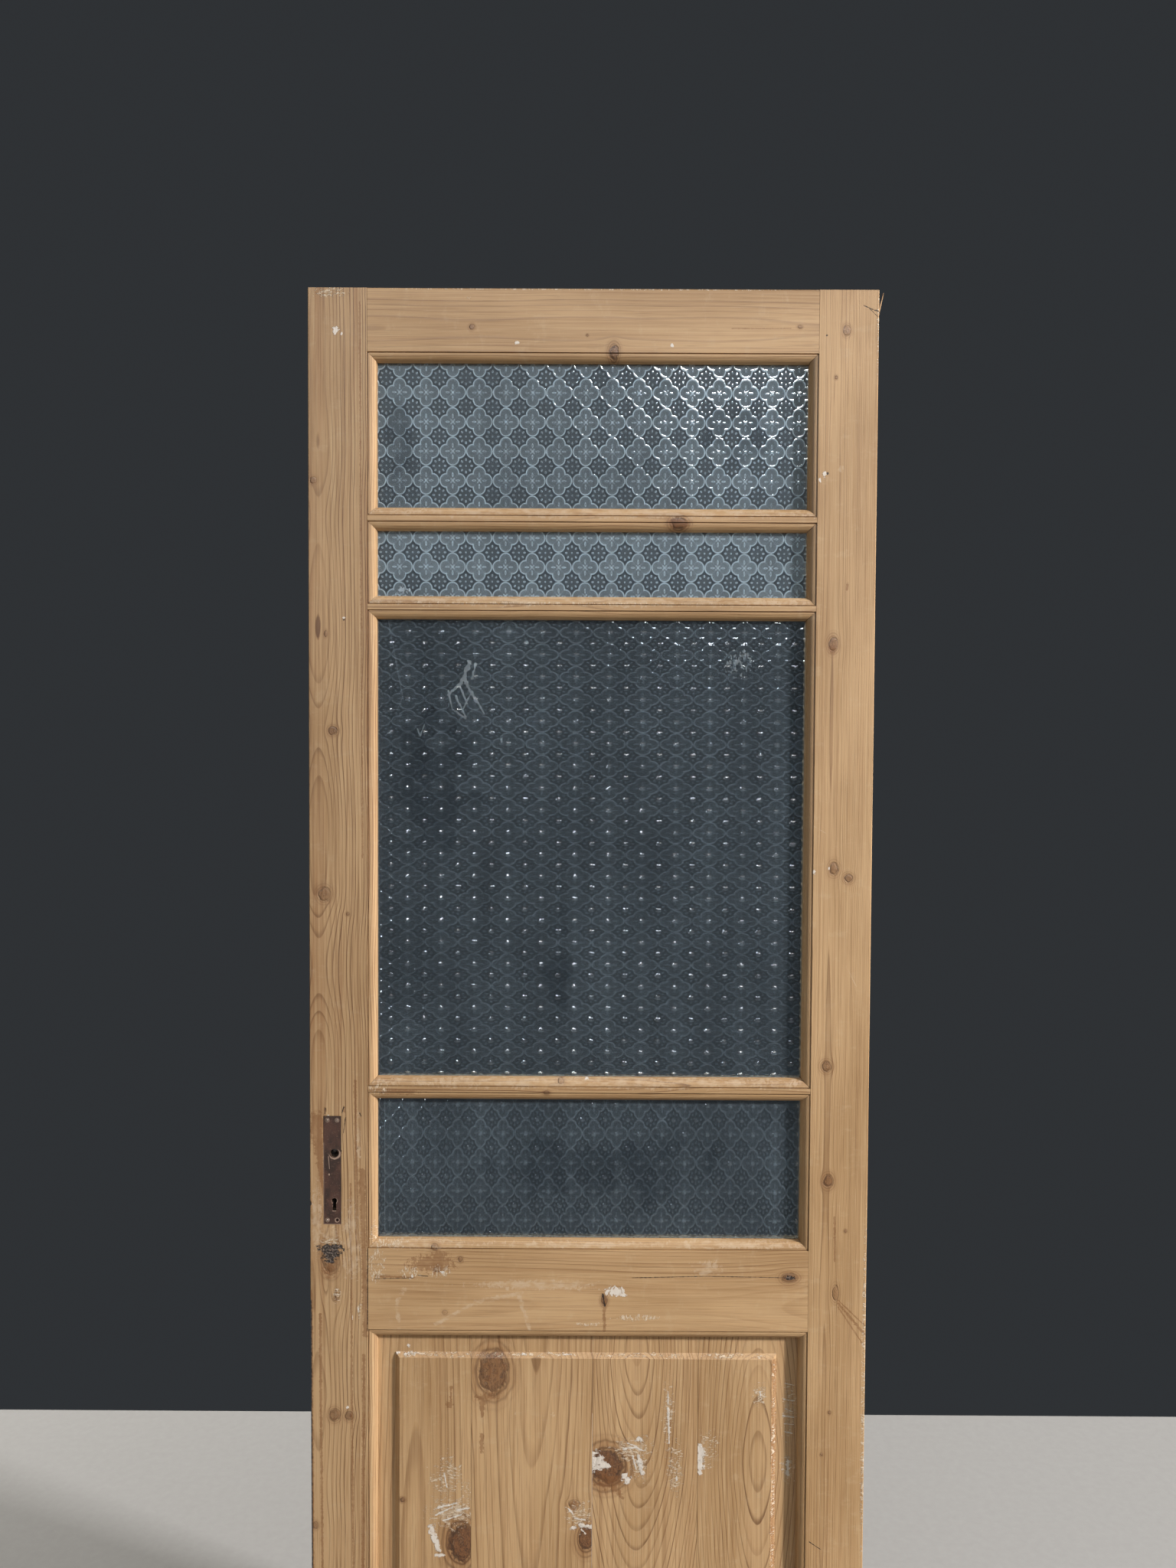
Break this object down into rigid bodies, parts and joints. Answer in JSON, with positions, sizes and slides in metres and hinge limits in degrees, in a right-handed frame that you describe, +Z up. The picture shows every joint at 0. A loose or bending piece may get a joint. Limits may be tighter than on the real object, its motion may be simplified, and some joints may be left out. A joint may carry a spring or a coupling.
{
  "type": "four-lite door",
  "caption": "Panelled door leaf in stripped pine, figured glass in moulded lites over one fielded panel, with a lock plate let into the lock stile.",
  "frame": {"origin": "on the hinge edge of the leaf, at mid-height and mid-thickness", "axes": "+Z up along the stiles, front face towards -Y, lock stile towards -X and hinge edge facing +X"},
  "size_m": [0.807, 0.0411, 2.2],
  "materials": {
    "pine": "stripped and bare, worn, satin to matt",
    "panel_pine": "stripped and bare, with flecks of old white paint",
    "bead_pine": "bare, matt",
    "figured_glass": "clear, with a pressed figure of rings and small flowers",
    "rusted_iron": "brown, evenly rusted and rubbed",
    "worn_steel": "dull, rubbed bright on the heads"
  },
  "bodies": {
    "root": {"lock_stile": "pine", "hinge_stile": "pine", "top_rail": "pine", "lock_rail": "pine", "bottom_rail": "pine", "glazing_bar_1": "pine", "glazing_bar_2": "pine", "glazing_bar_3": "pine", "panel_board_1": "panel_pine", "panel_board_2": "panel_pine", "panel_board_3": "panel_pine", "panel_board_4": "panel_pine", "pane_1": "figured_glass", "pane_2": "figured_glass", "pane_3": "figured_glass", "pane_4": "figured_glass", "bead_1_top": "bead_pine", "bead_1_bottom": "bead_pine", "bead_1_left": "bead_pine", "bead_1_right": "bead_pine", "bead_2_top": "bead_pine", "bead_2_bottom": "bead_pine", "bead_2_left": "bead_pine", "bead_2_right": "bead_pine", "bead_3_top": "bead_pine", "bead_3_bottom": "bead_pine", "bead_3_left": "bead_pine", "bead_3_right": "bead_pine", "bead_4_top": "bead_pine", "bead_4_bottom": "bead_pine", "bead_4_left": "bead_pine", "bead_4_right": "bead_pine", "lock_plate": "rusted_iron", "plate_nail_1": "worn_steel", "plate_nail_2": "worn_steel", "plate_nail_3": "worn_steel"}
  },
  "joints": []
}
